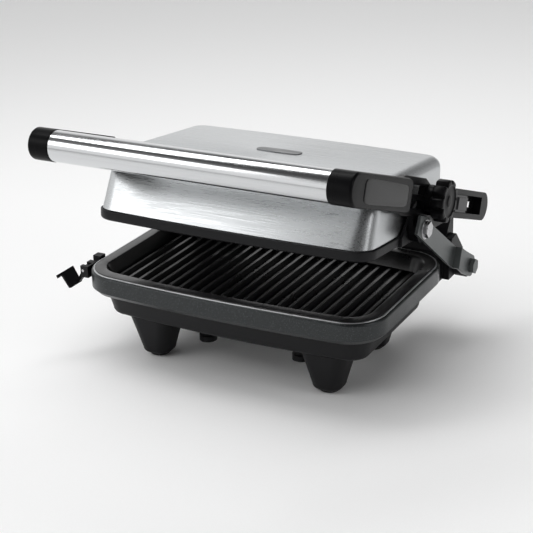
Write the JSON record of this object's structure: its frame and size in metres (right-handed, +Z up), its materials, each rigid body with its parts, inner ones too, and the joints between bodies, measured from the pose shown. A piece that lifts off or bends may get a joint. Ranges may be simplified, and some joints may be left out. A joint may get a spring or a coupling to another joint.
{
  "type": "panini press",
  "caption": "Countertop contact grill with a ribbed lower plate on feet and a floating steel lid carried by two side arms and a tubular front handle.",
  "frame": {"origin": "middle of the bounding box, on the table", "axes": "+Z up, +X to the user's right, -Y towards the user"},
  "size_m": [0.367, 0.3451, 0.2554],
  "materials": {
    "rim_metal": "satin cast metal, lightly speckled",
    "black_plastic": "matt moulded plastic",
    "arm_plastic": "satin-gloss moulded plastic",
    "pad_rubber": "matt",
    "nonstick": "dark non-stick coating on cast aluminium",
    "heater_steel": "dull, heat stained",
    "sheet_aluminium": "plain sheet",
    "ceramic_white": "glazed ceramic",
    "inlet_plastic": "matt",
    "zinc_steel": "plated",
    "strip_steel": "dark grey satin steel",
    "brushed_steel": "brushed along the width",
    "block_plastic": "grey plastic",
    "insulation": "mineral wool"
  },
  "bodies": {
    "base": {"base_rim": "rim_metal", "base_pan": "black_plastic", "leg_front_left": "black_plastic", "leg_front_right": "black_plastic", "leg_rear_left": "black_plastic", "leg_rear_right": "black_plastic", "foot_pads": "pad_rubber", "cord_wrap_posts": "black_plastic", "lower_grill_plate": "nonstick", "lower_heating_element": "heater_steel", "lower_reflector": "sheet_aluminium", "thermostat": "ceramic_white", "thermal_fuse": "sheet_aluminium", "terminal_block": "ceramic_white", "cord_inlet": "inlet_plastic", "leg_screws": "zinc_steel", "plate_studs": "zinc_steel", "tray_spacers": "zinc_steel", "hinge_housing_left": "black_plastic", "hinge_housing_right": "black_plastic", "hinge_bolt_left": "strip_steel", "hinge_bolt_right": "strip_steel", "latch_bracket": "black_plastic", "latch_pin": "zinc_steel"},
    "arms": {"arm_strip_left": "strip_steel", "arm_strip_right": "strip_steel", "arm_moulding_left": "arm_plastic", "arm_moulding_right": "arm_plastic", "lid_pivot_bolt_left": "zinc_steel", "lid_pivot_bolt_right": "zinc_steel", "handle_tube": "brushed_steel", "handle_cap_left": "arm_plastic", "handle_cap_right": "arm_plastic", "knob_stud": "zinc_steel"},
    "lid": {"lid_cover": "brushed_steel", "lid_trim": "black_plastic", "upper_grill_plate": "nonstick", "upper_heating_element": "heater_steel", "upper_reflector": "sheet_aluminium", "lid_insulation": "insulation", "pivot_bracket_left": "black_plastic", "pivot_bracket_right": "black_plastic", "lid_badge": "brushed_steel"},
    "knob": {"height_knob": "arm_plastic"},
    "slider": {"slot_block": "block_plastic"},
    "latch": {"latch_clip": "black_plastic"}
  },
  "joints": [
    {"name": "arm_lift", "type": "hinge", "parent": "base", "child": "arms", "pos_m": [0.0045, 0.11132, 0.073], "axis": [-1, 0, 0], "range_deg": [-18.8, 50]},
    {"name": "lid_tilt", "type": "hinge", "parent": "arms", "child": "lid", "pos_m": [0.0045, 0.00042, 0.15044], "axis": [-1, 0, 0], "range_deg": [-33, 12.6]},
    {"name": "knob_turn", "type": "hinge", "parent": "arms", "child": "knob", "pos_m": [0.1705, 0.02361, 0.17252], "axis": [1, 0, 0], "continuous": true},
    {"name": "slot_slide", "type": "slide", "parent": "arms", "child": "slider", "axis": [0, 0.9367, -0.3502], "range_m": [-0.007, 0.043]},
    {"name": "latch_swing", "type": "hinge", "parent": "base", "child": "latch", "pos_m": [-0.162, -0.08668, 0.087], "axis": [0, 1, 0], "range_deg": [0, 100]}
  ],
  "couplings": [
    {"joint": "lid_tilt", "follows": "arm_lift", "ratio": -0.65426}
  ]
}
